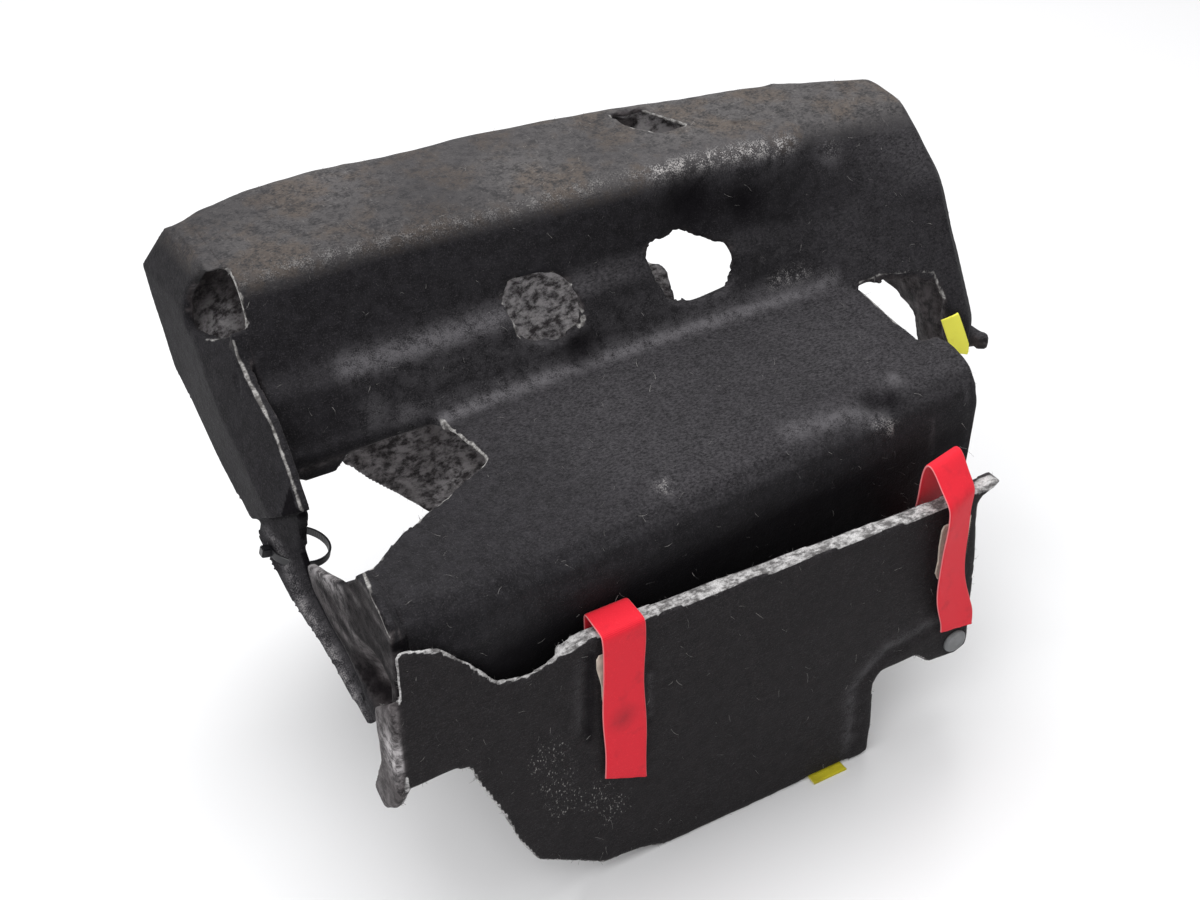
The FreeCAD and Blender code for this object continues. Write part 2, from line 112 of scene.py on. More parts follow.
def fade(gap, reach):
    """1 at no gap, smoothly down to 0 at reach."""
    t = np.clip(gap / reach, 0, 1)
    return 1 - t * t * (3 - 2 * t)


class FeltSolid:
    """A felt solid of the frame: its faces sorted into skin (0), fibre side (1) and cut edge (2)."""

    # Places on a triangle from which the depth of the felt is felt out.
    samples = (0.33, 0.33), (0.6, 0.2), (0.2, 0.6), (0.2, 0.2), (0.46, 0.46), (0.46, 0.08), (0.08, 0.46)

    def __init__(self, node, wall, hollow, rule):
        self.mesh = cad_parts[node].data.copy()
        solid = bmesh.new()
        solid.from_mesh(self.mesh)
        bmesh.ops.remove_doubles(solid, verts=solid.verts, dist=2e-5)
        solid.to_mesh(self.mesh)
        self.tree = BVHTree.FromBMesh(solid)
        self.kind = []
        skin = []
        for face in solid.faces:
            a, b, c = (v.co for v in face.verts)
            least = 1.0
            for u, v in self.samples:
                start = a + (b - a) * u + (c - a) * v - face.normal * 0.0003
                hit = self.tree.ray_cast(start, -face.normal, 0.3)
                if hit[0]:
                    least = min(least, hit[3])
            middle = face.calc_center_median()
            kind = 2 if least > wall else 1 if face.normal.dot(middle - hollow(middle)) < 0 else 0
            self.kind.append(rule(kind, middle, face.normal))
            if self.kind[-1] == 0:
                skin.append([v.index for v in face.verts])
        self.skin = BVHTree.FromPolygons([v.co.copy() for v in solid.verts], skin)
        solid.free()

    def soften(self, name, voxel, smoothing, seam=None, keep=0):
        """Even mesh with softened edges as a new object, and arrays of its points and normals.
        With a seam, only the part to its left (keep 1) or right (keep -1) is left, closed at the seam."""
        rough = in_scene(name + "_rough", self.mesh)
        even = rough.modifiers.new("even", "REMESH")
        even.mode = "VOXEL"
        even.voxel_size = voxel
        even.adaptivity = 0
        soft = rough.modifiers.new("soft", "SMOOTH")
        soft.factor = 0.5
        soft.iterations = smoothing
        mesh = evaluated(rough)
        bpy.data.objects.remove(rough)
        mesh.name = name
        mesh.materials.clear()
        if keep:
            part = bmesh.new()
            part.from_mesh(mesh)
            every = part.verts[:] + part.edges[:] + part.faces[:]
            bmesh.ops.bisect_plane(part, geom=every, plane_co=seam, plane_no=(keep, 0, 0), clear_outer=True)
            bmesh.ops.holes_fill(part, edges=[e for e in part.edges if e.is_boundary])
            bmesh.ops.triangulate(part, faces=[f for f in part.faces if len(f.verts) > 4])
            part.to_mesh(mesh)
            part.free()
        mesh.polygons.foreach_set("use_smooth", np.ones(len(mesh.polygons), bool))
        piece = in_scene(name, mesh)
        points = np.zeros(len(mesh.vertices) * 3)
        normals = np.zeros(len(mesh.vertices) * 3)
        mesh.vertices.foreach_get("co", points)
        mesh.vertices.foreach_get("normal", normals)
        return piece, points.reshape(-1, 3), normals.reshape(-1, 3)

    def sides(self, points):
        """1 on a cut edge, 1 on the fibre side, and the distance to the skin, for each point."""
        kind = np.array([self.kind[self.tree.find_nearest(p)[2]] for p in points])
        depth = np.array([self.skin.find_nearest(p)[3] for p in points])
        return (kind == 2).astype(float), (kind == 1).astype(float), depth

    def pinch(self, points, gap, reach, share):
        """Points near a cut edge drawn towards the skin, to share of the wall at the edge itself."""
        moved = points.copy()
        keep = 1 - (1 - share) * fade(gap, reach)
        for i in np.nonzero(gap < reach)[0]:
            near = np.array(self.skin.find_nearest(points[i])[0])
            moved[i] = near + (points[i] - near) * keep[i]
        return moved


def gap_to(points, chosen):
    """Distance of each point to the nearest chosen one."""
    tree = KDTree(int(chosen.sum()))
    for i in np.nonzero(chosen)[0]:
        tree.insert(points[i], int(i))
    tree.balance()
    return np.array([tree.find(p)[2] for p in points])


def spread_to_neighbours(mesh, values, times):
    """Values of the points blended with those of their neighbours."""
    ends = np.zeros(len(mesh.edges) * 2, int)
    mesh.edges.foreach_get("vertices", ends)
    a, b = ends.reshape(-1, 2).T
    count = np.bincount(a, minlength=len(values)) + np.bincount(b, minlength=len(values))
    for _ in range(times):
        near = np.bincount(a, values[b], len(values)) + np.bincount(b, values[a], len(values))
        values = 0.5 * values + 0.5 * near / np.maximum(count, 1)
    return values


# Three marks paint light and shade into the colour: one darkens dents, recesses and shaded sides as painted
# shade, one lightens upward faces as painted light from above, and the pale-band mark is partly rubbing, partly
# painted highlight.
mark_names = ("cut", "inner", "scuff", "rub", "dust", "soil", "pale", "speck", "settled")


def mark(mesh, name, values):
    """Stores one value per point for the material."""
    layer = mesh.attributes.new(name, "FLOAT", "POINT")
    layer.data.foreach_set("value", np.clip(values, 0, 1).astype(np.float32))


def spot(points, size, *places):
    """1 in the middle of each place, fading out over size."""
    total = np.zeros(len(points))
    for place in places:
        gap = np.linalg.norm(points - np.array(at(*place)), axis=1)
        total = np.maximum(total, np.exp(-(gap / size) ** 2))
    return total


def streak(points, size, *line):
    """1 along the line through the given places, fading out over size."""
    total = np.zeros(len(points))
    for start, end in zip(line, line[1:]):
        a = np.array(at(*start))
        run = np.array(at(*end)) - a
        t = np.clip(((points - a) @ run) / (run @ run), 0, 1)
        gap = np.linalg.norm(points - a - t[:, None] * run, axis=1)
        total = np.maximum(total, np.exp(-(gap / size) ** 2))
    return total


hollow_low, hollow_high = at(-60, 200, 150), at(240, 200, 150)


def shell_hollow(p):
    return Vector((min(max(p.x, hollow_low.x), hollow_high.x), hollow_low.y, hollow_low.z))


stay_line = ((-112, 146, 188), (-111.5, 112, 166), (-109.5, 79, 157), (-109, 36, 141))
stay_half = 0.012


def stay_middle(points):
    """Nearest place on the line of the stay, as y and z, seen from the left end."""
    least, nearest = np.full(len(points), 1.0), points[:, 1:].copy()
    for start, end in zip(stay_line, stay_line[1:]):
        a, b = np.array(at(*start))[1:], np.array(at(*end))[1:]
        t = np.clip(((points[:, 1:] - a) @ (b - a)) / ((b - a) @ (b - a)), 0, 1)
        place = a + t[:, None] * (b - a)
        gap = np.linalg.norm(points[:, 1:] - place, axis=1)
        nearest[gap < least] = place[gap < least]
        least = np.minimum(least, gap)
    return nearest


def stay_gap(points):
    return np.linalg.norm(points[:, 1:] - stay_middle(points), axis=1)


def shell_side(kind, middle, normal):
    """Faces at the ends that the depth alone sorts wrongly."""
    p = middle - at(0, 0, 0)
    x, y, z = p.x * 1000, p.y * 1000, p.z * 1000
    if x > 262 and abs(normal.x) > 0.9 and z > 186:
        return 0 if normal.x > 0 else 1
    if x < -99.5 and z > 298:
        return 0
    if x < -99.5 and y < 162 and (z < 216 or (y < 70 and z < 241 and normal.x < -0.9)):
        if stay_gap(np.array([middle]))[0] < stay_half:
            return 0
        return 1 if y < 119 else 0
    return kind


shell_solid = FeltSolid("main_shell", 0.0098, shell_hollow, shell_side)
seam = at(-97, 0, 0)


def shell_part(name, voxel, smoothing, keep):
    """One end of the shell, kept to the left (1) or right (-1) of the seam, with its wear marks and its painted
    light and shade.
    """
    overlap = Vector((0.001 * keep, 0, 0))
    piece, points, normals = shell_solid.soften(name, voxel, smoothing, seam + overlap, keep)
    cut, inner, depth = shell_solid.sides(points)
    left_end = points[:, 0] < at_x(-98.5)
    edge_gap = gap_to(points, cut > 0.5)
    points = shell_solid.pinch(points, np.where(left_end, 1.0, edge_gap), 0.016, 0.42)

    # Uneven wall: slow waves from the mould shared by both sides, small lumps of the felt on each.
    outward = normals * (1 - 2 * inner)[:, None]
    outward[left_end] = (-1, 0, 0)
    wave = lump(points, 0.055, 1) * 0.0022 + lump(points, 0.021, 2) * 0.0009
    top = np.clip((points[:, 2] - 0.299) / 0.010, 0, 1)
    wave += top * lump(points, 0.026, 6) * 0.0014
    small = lump(points, 0.008, 3) * 0.0004 + inner * lump(points, 0.007, 4) * 0.0010
    small += cut * (lump(points, 0.007, 5) * 0.0005 - 0.0002)
    small[left_end] *= 0.35
    points = points + outward * (wave * (1 - cut))[:, None] + normals * small[:, None]

    # Dents from the mould: above and beside the large hole, under the small one, near the right corner.
    into_face = np.array((0.0, 0.83, -0.55))
    dent = 0.0065 * spot(points, 0.017, (160, 177, 288)) + 0.0032 * spot(points, 0.010, (194, 173, 280))
    dent += 0.0035 * spot(points, 0.012, (77, 154, 233))
    points = points + into_face * dent[:, None]
    into_corner = np.array((-0.1, 0.3, -0.95))
    points = points + into_corner * (0.0045 * spot(points, 0.008, (198, 48, 220)))[:, None]
    points = points - into_corner * (0.0020 * spot(points, 0.007, (214, 54, 222)))[:, None]

    # The stay narrows downwards with a smooth edge, and the web is drawn in behind the clip.
    near, gap = stay_middle(points), stay_gap(points)
    below = (points[:, 1:] - near) @ np.array((0.39, -0.92)) > 0
    on_stay = np.where(below, 1.0, np.clip((0.016 - gap) / 0.004, 0, 1)) * (gap < 0.03)
    on_stay = on_stay * (points[:, 0] < at_x(-104)) * np.clip((at_y(132) - points[:, 1]) / 0.04, 0, 1)
    points[:, 1:] += (near - points[:, 1:]) * (0.38 * on_stay)[:, None]
    smooth = np.stack([spread_to_neighbours(piece.data, axis, 14) for axis in points.T], axis=1)
    points += (smooth - points) * on_stay[:, None]
    away = np.linalg.norm(points[:, 1:] - np.array(at(0, 30, 168))[1:], axis=1)
    draw = 0.015 * fade(away, 0.032) * np.clip((stay_gap(points) - 0.008) / 0.010, 0, 1)
    points[:, 0] += draw * (points[:, 0] < at_x(-90)) * (points[:, 1] > at_y(12))

    # Torn nibs on the rear edge of the top.
    nib = 0.004 * spot(points, 0.0045, (-2, 280, 312), (254, 240, 312))
    nib += 0.002 * spot(points, 0.006, (-92, 268, 312))
    points[:, 2] += nib * (points[:, 2] > 0.300)
    points[:, 2] = np.maximum(points[:, 2], 0.0002)
    piece.data.vertices.foreach_set("co", points.ravel())
    piece.data.update()

    # Wear and painted light: white scuffs along the top edge and the small rubbed spots are wear; the soft pale
    # bands along ledge and crease are painted highlights, the one on the stay is rubbed; the dents are darkened
    # as painted shade.
    x, y, z = points.T
    stay = (x < at_x(-104)) & (y < at_y(150)) & (stay_gap(points) < stay_half)
    scuff = most(
        streak(points, 0.0045, (142, 186, 307), (180, 184, 308), (226, 179, 306)),
        0.5 * spot(points, 0.004, (252, 172, 298), (61, 41, 222), (199.6, 35.8, 209.4), (194, 38, 212)),
        0.30 * streak(points, 0.004, (-98, 194, 310), (-40, 194, 309), (140, 187, 308)),
        0.45 * streak(points, 0.003, (196, 156, 250), (224, 156, 251)),
        0.45 * streak(points, 0.004, (205, 156, 234), (238, 157, 234)),
        0.30 * stay * streak(points, 0.0022, *stay_line))
    foot = ((-30, 153, 230), (30, 153, 229), (75, 153, 230), (150, 153, 231), (240, 155, 232))
    crease = ((-12, 146, 222), (6, 147, 224), (58, 148.5, 225.6), (102, 148.5, 226.3), (163, 147.3, 226.8),
              (203, 146, 227.3), (238, 144, 232))
    rub = most(
        0.35 * streak(points, 0.0055, *foot),
        1.2 * streak(points, 0.0042, *crease),
        0.28 * streak(points, 0.012, (-20, 160, 243), (60, 161, 241), (130, 160, 243)),
        0.85 * streak(points, 0.0080, (-52, 168, 257), (-20, 168, 257), (35, 167, 259)),
        0.6 * spot(points, 0.009, (-44, 152, 236), (-28, 152, 230), (250, 173, 296)),
        1.0 * spot(points, 0.0055, (215, 55.5, 222.5)) + 0.3 * spot(points, 0.006, (61, 41, 222)),
        0.8 * streak(points, 0.0065, (142, 47.5, 221.7), (178, 45, 220.6), (192, 40, 214)),
        0.6 * streak(points, 0.0016, (229, 36.4, 202), (232.3, 36.6, 177.7)),
        0.6 * streak(points, 0.0016, (255, 40.7, 211), (259.3, 38.6, 172.8)),
        0.5 * streak(points, 0.012, (142, 186, 307), (226, 179, 306)),
        1.0 * stay * streak(points, 0.0042, *stay_line))
    # Painted shade: the dents by the holes, the pit, the corner dents and the front drop under the terrace are
    # darkened in the colour.
    soil = spot(points, 0.019, (160, 177, 287)) + spot(points, 0.011, (194, 173, 279), (77, 154, 233))
    soil += spot(points, 0.0022, (206.7, 205.5, 312)) + spot(points, 0.0065, (198, 49, 220), (206, 46, 219))
    shade = np.clip((y - at_y(60)) / -0.03, 0, 1) * np.clip((0.205 - z) / 0.02, 0, 1)
    soil = most(soil, shade * (x > at_x(-95))) * (1 - inner)

    # The web under the flap is darkened with streaks as painted shade; its upper border and the fibre behind the
    # holes are pale.
    web = (x < at_x(-90)) & (y < at_y(125)) & (z < 0.241) & ~stay
    web &= np.where(z > 0.222, normals[:, 0] < -0.85, (normals[:, 0] < -0.3) | left_end)
    border = streak(points, 0.006, (-106, 66, 210), (-106, 90, 199), (-106, 112, 187))
    along_web = points * (1, 0.3, 1)
    soil = most(soil, web * (0.92 + 1.9 * lump(along_web, 0.006, 21)) * (1 - 0.6 * border))
    behind = fade(np.abs(y - at_y(258)), 0.03) * (z < 0.245) * (z > 0.150) * (x > at_x(60))
    low = fade(np.abs(y - at_y(270)), 0.02) * (z < 0.150) * (x > at_x(-60))
    pocket = (np.abs(x - at_x(170)) < 0.028) & (np.abs(y - at_y(238)) < 0.015) & (z > 0.285) & (z < 0.3085)
    pale = most(
        0.5 * border,
        behind,
        0.32 * web * np.clip(lump(along_web, 0.0035, 22), 0, 1),
        0.22 * low * (1 + lump(points, 0.02, 23)) + 0.5 * spot(points, 0.012, (51, 268, 73)),
        0.5 * pocket,
        0.9 * spot(points, 0.014, (-86, 266, 237)))

    # Cut edges show as a thin line next to the skin, also round the openings.
    skin_depth = 0.0032
    line = spread_to_neighbours(piece.data, cut * (depth < skin_depth), 1)
    line = most(line, 0.52 * fade(edge_gap, 0.0034) * (1 - inner)) * np.where(left_end, 0.0, 1.0)
    line *= 1 - 0.7 * (spot(points, 0.045, (165, 158, 252)) > 0.37) - 0.8 * (x > at_x(294))
    low_left = (x < at_x(-80)) & (z < 0.245)
    line *= np.where(low_left & (depth > 0.0012), 0.2, 1.0)
    cheek_edge = ((249.6, 134.3, 230.2), (262, 130.3, 234), (280, 122.2, 235.4), (289.3, 117.4, 234.4),
                  (293, 108.3, 219))
    flap_top = ((-113, 204.5, 273.3), (-111, 200.7, 274.9), (-108.4, 198.8, 275.7), (-105.5, 197.9, 275.9))
    flap_edge = ((-106, 182, 283), (-106, 179.5, 276.7), (-104.6, 176.6, 272), (-104.7, 170.5, 268),
                 (-104, 146, 256), (-104, 129, 239), (-104, 113, 221))
    web_edge = ((-101.1, 43.3, 234.6), (-105.3, 26.3, 239.4), (-106, 16.9, 234.4), (-106, 11.3, 229.7),
                (-106, 6.5, 226.2))
    line = most(line, 0.62 * streak(points, 0.0019, *cheek_edge), 0.5 * streak(points, 0.0016, *flap_top),
                0.7 * streak(points, 0.0018, *flap_edge), 0.65 * streak(points, 0.0016, *web_edge))
    inner = most(inner, cut * (depth >= skin_depth), pocket)
    rounding = (normals[:, 2] > 0.25) & low_left & (z > 0.2) & (y < at_y(70))
    inner = np.where(rounding, 0.0, inner)
    mark(piece.data, "scuff", scuff * (1 - inner))
    mark(piece.data, "rub", rub * (1 - inner))
    mark(piece.data, "soil", soil)
    mark(piece.data, "cut", line * ~stay)
    mark(piece.data, "inner", spread_to_neighbours(piece.data, inner * ~stay, 1))
    mark(piece.data, "pale", pale)
    mark(piece.data, "speck", 0.06 + 0.8 * lump(points, 0.03, 9))
    mark(piece.data, "dust", top * (1 - inner) * (0.72 + 0.8 * lump(points, 0.05, 8)))
    # Painted light: faces turned upwards are lightened as by light from above, more so towards the right.
    settled = np.clip(normals[:, 2] * 1.5 - 0.35, 0, 1) * (1 + 0.5 * lump(points, 0.04, 17))
    mark(piece.data, "settled", settled * (0.25 + 0.75 * np.clip((x - at_x(-40)) / 0.11, 0, 1)))
    return piece


shell = shell_part("felt_shell", 0.0024, 3, -1)
shell_left = shell_part("felt_left_end", 0.0013, 9, 1)


def shader(material):
    """Empty node tree of a material, with a function that adds nodes to it."""
    material.use_nodes = True
    tree = material.node_tree
    tree.nodes.clear()

    def add(kind, settings=None, **inputs):
        node = tree.nodes.new(kind)
        for key, value in (settings or {}).items():
            setattr(node, key, value)
        for key, value in inputs.items():
            socket = node.inputs[int(key[1:])] if key[1:].isdigit() else node.inputs[key.replace("_", " ")]
            if isinstance(value, bpy.types.NodeSocket):
                tree.links.new(value, socket)
            else:
                socket.default_value = value
        return node

    return add


def blend(add, share, low, high):
    """Colour between low and high."""
    return add("ShaderNodeMix", {"data_type": "RGBA"}, i0=share, i6=low, i7=high).outputs[2]


def grain(add, place, scale, stretch, turn, detail=3.0, rough=0.6):
    """Noise that runs in fibres: stretched along one axis and turned."""
    mapping = add("ShaderNodeMapping", Vector=place, Rotation=turn, Scale=stretch)
    noise = add("ShaderNodeTexNoise", Vector=mapping.outputs[0], Scale=scale, Detail=detail, Roughness=rough)
    return noise.outputs[0]


def ramp(add, value, low, high):
    """0 below low, 1 above high."""
    return add("ShaderNodeMapRange", {"interpolation_type": "SMOOTHSTEP"}, i0=value, i1=low, i2=high).outputs[0]


def times(add, a, b, how="MULTIPLY"):
    return add("ShaderNodeMath", {"operation": how}, i0=a, i1=b).outputs[0]


def felt(name, skin, skin_light, core_dark, core_light):
    """Felt with a black pressed skin, mottled fibre inside and pale cut edges."""
    material = bpy.data.materials.new(name)
    add = shader(material)
    place = add("ShaderNodeTexCoord").outputs["Object"]
    marks = {key: add("ShaderNodeAttribute", {"attribute_name": key}).outputs["Fac"]
             for key in mark_names}
    fine = grain(add, place, 1500, (1, 1, 1), (0, 0, 0), 2.0)
    along = grain(add, place, 900, (0.28, 1, 1), (0.2, 0.1, 0.35), 3.0)
    across = grain(add, place, 850, (1, 0.28, 0.5), (0.3, -0.2, -0.5), 3.0)
    blot = grain(add, place, 38, (1, 1, 1), (0, 0, 0), 4.0, 0.62)
    cloud = grain(add, place, 150, (1, 1, 1), (0.4, 0.1, 0.9), 4.0, 0.68)
    tuft = grain(add, place, 170, (0.8, 1, 1), (0.1, 0.3, 0.6), 6.0, 0.72)
    nap = grain(add, place, 850, (0.6, 1, 1), (0.3, 0.2, 0.5), 3.0, 0.7)
    strand = times(add, ramp(add, along, 0.56, 0.78), ramp(add, across, 0.56, 0.80), "MAXIMUM")

    # Pressed skin, with painted light on upward faces, dust on the top, rubbed bands with painted highlights,
    # white scuffs and specks.
    colour = blend(add, ramp(add, cloud, 0.35, 0.7), (*skin, 1), (*skin_light, 1))
    # Painted light from above on upward faces, broken by the nap.
    settled = times(add, marks["settled"], times(add, ramp(add, nap, 0.30, 0.72), ramp(add, cloud, -0.3, 0.7)))
    colour = blend(add, settled, colour, (0.053, 0.0500, 0.0545, 1))
    colour = blend(add, times(add, strand, 0.22), colour, (0.085, 0.080, 0.088, 1))
    colour = blend(add, times(add, ramp(add, fine, 0.54, 0.74), 0.38), colour, (0.085, 0.080, 0.085, 1))
    brown = times(add, ramp(add, blot, 0.45, 0.62), 0.55)
    dusty = blend(add, brown, (0.086, 0.081, 0.082, 1), (0.106, 0.080, 0.060, 1))
    mottle = times(add, times(add, cloud, 0.5), times(add, nap, 0.5), "ADD")
    dusty = blend(add, ramp(add, mottle, 0.43, 0.62), dusty, (0.027, 0.026, 0.027, 1))
    dusty = blend(add, times(add, strand, 0.5), dusty, (0.20, 0.19, 0.182, 1))
    colour = blend(add, marks["dust"], colour, dusty)
    # Pale bands: painted highlight on ledge and crease, rubbing elsewhere.
    soft = times(add, marks["rub"], ramp(add, times(add, fine, cloud, "ADD"), 0.72, 1.18))
    colour = blend(add, times(add, soft, 0.8), colour, (0.115, 0.110, 0.118, 1))
    worn = times(add, marks["scuff"], ramp(add, times(add, fine, cloud, "ADD"), 0.98, 1.20))
    colour = blend(add, worn, colour, (0.50, 0.48, 0.47, 1))
    flake = grain(add, place, 900, (1, 1, 0.5), (0.0, 0.5, 0.2), 2.0)
    spread = ramp(add, times(add, cloud, marks["speck"]), 0.22, 0.40)
    flakes = times(add, ramp(add, flake, 0.61, 0.68), spread)
    colour = blend(add, times(add, flakes, 0.7), colour, (0.34, 0.33, 0.32, 1))

    # Loose fibre of the inner side; painted shade lies over both.
    fibre = blend(add, ramp(add, tuft, 0.36, 0.66), (0.011, 0.0090, 0.0100, 1), (0.108, 0.095, 0.098, 1))
    fibre = blend(add, times(add, ramp(add, blot, 0.46, 0.60), 0.6), fibre, (0.040, 0.033, 0.034, 1))
    fibre = blend(add, times(add, strand, 0.3), fibre, (0.20, 0.19, 0.195, 1))
    bright = blend(add, ramp(add, tuft, 0.38, 0.62), (0.080, 0.072, 0.075, 1), (0.72, 0.69, 0.70, 1))
    fibre = blend(add, marks["pale"], fibre, bright)
    colour = blend(add, marks["inner"], colour, fibre)
    colour = blend(add, times(add, marks["soil"], 0.8), colour, (0.0040, 0.0035, 0.0044, 1))

    # Cut core, blotched and grainy.
    blotch = grain(add, place, 120, (1, 1, 1), (0.2, 0.5, 0.1), 3.0, 0.6)
    shred = grain(add, place, 520, (0.5, 1, 1), (0.2, 0.9, 0.4), 4.0, 0.7)
    torn = ramp(add, times(add, blotch, shred, "ADD"), 0.82, 1.20)
    core = blend(add, torn, (*core_dark, 1), (*core_light, 1))
    core = blend(add, times(add, ramp(add, fine, 0.48, 0.66), 0.45), core, (*core_dark, 1))
    frayed = times(add, marks["cut"], times(add, times(add, cloud, 0.5, "SUBTRACT"), 0.6), "ADD")
    colour = blend(add, ramp(add, frayed, 0.36, 0.60), colour, core)

    height = times(add, times(add, fine, 0.35), times(add, times(add, along, across, "ADD"), 0.34), "ADD")
    height = times(add, height, times(add, cloud, 0.6), "ADD")
    bump = add("ShaderNodeBump", Strength=0.6, Distance=0.0013, Height=height)
    rough = add("ShaderNodeMapRange", i0=along, i3=0.60, i4=0.92).outputs[0]
    # Less gloss where shade is painted.
    gloss = times(add, 0.15, times(add, marks["soil"], 0.14), "SUBTRACT")
    body = add("ShaderNodeBsdfPrincipled", Base_Color=colour, Roughness=rough, Normal=bump.outputs[0],
               Specular_IOR_Level=times(add, gloss, 0.0, "MAXIMUM"))
    body.inputs["Sheen Weight"].default_value = 0.03
    body.inputs["Sheen Roughness"].default_value = 0.45
    add("ShaderNodeOutputMaterial", Surface=body.outputs[0])
    return material


shell_felt = felt("shell_felt", (0.0055, 0.0050, 0.0064), (0.0130, 0.0120, 0.0145),
                  (0.09, 0.085, 0.083), (0.40, 0.39, 0.38))
for piece in (shell, shell_left):
    piece.data.materials.append(shell_felt)
    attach(piece, "root")
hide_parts("main_shell")

# Front panel: flat needle felt board, pressed thin at its left end, hung before the terrace.
# Its outer face is smooth and rubbed; the thick top rim shows the grey-white fibre core.
panel_back = at(60, 160, 100)
panel_solid = FeltSolid("front_panel", 0.0115, lambda p: Vector((p.x, panel_back.y, p.z)),
                        lambda kind, middle, normal: kind)
panel, points, normals = panel_solid.soften("felt_panel", 0.0019, 2)
cut, inner, depth = panel_solid.sides(points)
left_end = np.clip((at_x(-12) - points[:, 0]) / 0.020, 0, 1)
step_back = (np.abs(points[:, 0] - at_x(-16)) < 0.016) & (points[:, 2] < 0.165) & (points[:, 1] > at_y(3))
cut *= ~step_back
edge_gap = gap_to(points, cut > 0.5)
points = points + left_end[:, None] * (panel_solid.pinch(points, edge_gap, 0.012, 0.5) - points)
outward = normals * (1 - 2 * inner)[:, None]
wave = lump(points, 0.07, 11) * 0.0016 + lump(points, 0.022, 12) * 0.0005
small = lump(points, 0.007, 13) * 0.0003 + cut * lump(points, 0.006, 14) * 0.0007
points = points + outward * (wave * (1 - cut))[:, None] + normals * small[:, None]

# Creases beside the left strap and along the notch, drawn in by the press.
crease = 0.0016 * streak(points, 0.003, (-7, 0, 172), (-8, 0, 120))
crease += 0.0012 * streak(points, 0.003, (28, 0, 150), (29, 0, 108))
crease += 0.0014 * streak(points, 0.004, (170, 0, 14), (168, 0, 60), (186, 0, 78), (228, 0, 84))
points[:, 1] += crease
points[:, 1] = np.maximum(points[:, 1], corner.y - 0.0008)
points[:, 2] = np.maximum(points[:, 2], 0.0)
panel.data.vertices.foreach_set("co", points.ravel())
panel.data.update()
speck = most(0.95 * spot(points, 0.017, (-30, 0, 112), (-26, 0, 92), (-20, 0, 72), (-4, 0, 66), (8, 0, 52)),
             0.45 * spot(points, 0.020, (24, 0, 40), (40, 0, 60), (60, 0, 44), (44, 0, 130)))
# Pale lines by the strap crease and along the notch: partly rubbing, partly painted highlight on the folds.
rub = most(0.55 * streak(points, 0.0016, (29.5, 0, 140), (30.5, 0, 110)),
           0.45 * streak(points, 0.005, (166, 0, 16), (164, 0, 62), (184, 0, 84), (232, 0, 90)),
           0.25 * streak(points, 0.004, (-11, 0, 168), (-12, 0, 122)))
tab = np.clip((at_x(-106.3) - points[:, 0]) / 0.002, 0, 1)
pale = tab * 0.6 * spot(points, 0.010, (-111, 4, 156), (-109, 2, 150)) + 0.08 * tab
# The hollows of the tab's fold are kept less pale: painted shade.
hollow_fold = tab * most(spot(points, 0.007, (-110, 6, 128)),
                         spot(points, 0.005, (-111, 16, 186), (-111, 8, 182)))
mark(panel.data, "scuff", np.zeros(len(points)))
mark(panel.data, "rub", rub)
mark(panel.data, "speck", speck)
# Painted shade: a dark line in the crease beside the left strap.
mark(panel.data, "soil", 0.8 * streak(points, 0.003, (-5, 0, 170), (-6, 0, 118), (-6, 0, 112)))
ear = streak(points, 0.007, (238, 3, 180), (251, 0, 177))
mark(panel.data, "cut", np.maximum(spread_to_neighbours(panel.data, cut, 1) * (1 - tab), ear))
# Painted light from above on the panel's upward faces.
mark(panel.data, "settled", np.clip(normals[:, 2], 0, 1) * (1 - cut))
mark(panel.data, "inner", np.maximum(spread_to_neighbours(panel.data, inner, 1), tab))
mark(panel.data, "pale", pale * (1 - hollow_fold))
mark(panel.data, "dust", np.zeros(len(points)))
panel.data.materials.append(felt("panel_felt", (0.0078, 0.0064, 0.0074), (0.0125, 0.0106, 0.0118),
                                 (0.11, 0.105, 0.105), (0.58, 0.57, 0.57)))
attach(panel, "root")
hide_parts("front_panel")

# Lint and frayed fibres: loose hairs caught on the skin, and fibre ends that stand out of the cut edges.
# Each is a thin bent thread, scattered by one node tree with a fixed seed.


def join_rings(shape, rings):
    """Side faces between neighbouring rings of points."""
    count = len(rings[0])
    for low, high in zip(rings, rings[1:]):
        for k in range(count):
            j = (k + 1) % count
            shape.faces.new((low[k], low[j], high[j], high[k]))


def put_out(tree, placed, material):
    """Ends a node tree: its copies are made real, dressed in the material and handed on."""
    real = tree.nodes.new("GeometryNodeRealizeInstances")
    dressed = tree.nodes.new("GeometryNodeSetMaterial")
    dressed.inputs[2].default_value = material
    result = tree.nodes.new("NodeGroupOutput")
    tree.links.new(placed.outputs[0], real.inputs[0])
    tree.links.new(real.outputs[0], dressed.inputs[0])
    tree.links.new(dressed.outputs[0], result.inputs[0])


def thread(name, length, width):
    """Thin bent thread along +Z, three-sided, in metres."""
    shape = bmesh.new()
    rings = []
    for i in range(5):
        t = i / 4
        middle = Vector((0.30 * length * t * t, 0.10 * length * math.sin(3.0 * t), length * t))
        wide = width * (1 - 0.6 * t)
        rings.append([shape.verts.new(middle + Vector((math.cos(a), math.sin(a), 0)) * wide / 2)
                      for a in (0, 2.1, 4.2)])
    join_rings(shape, rings)
    shape.faces.new(rings[0][::-1])
    shape.faces.new(rings[-1])
    return built(name, shape)


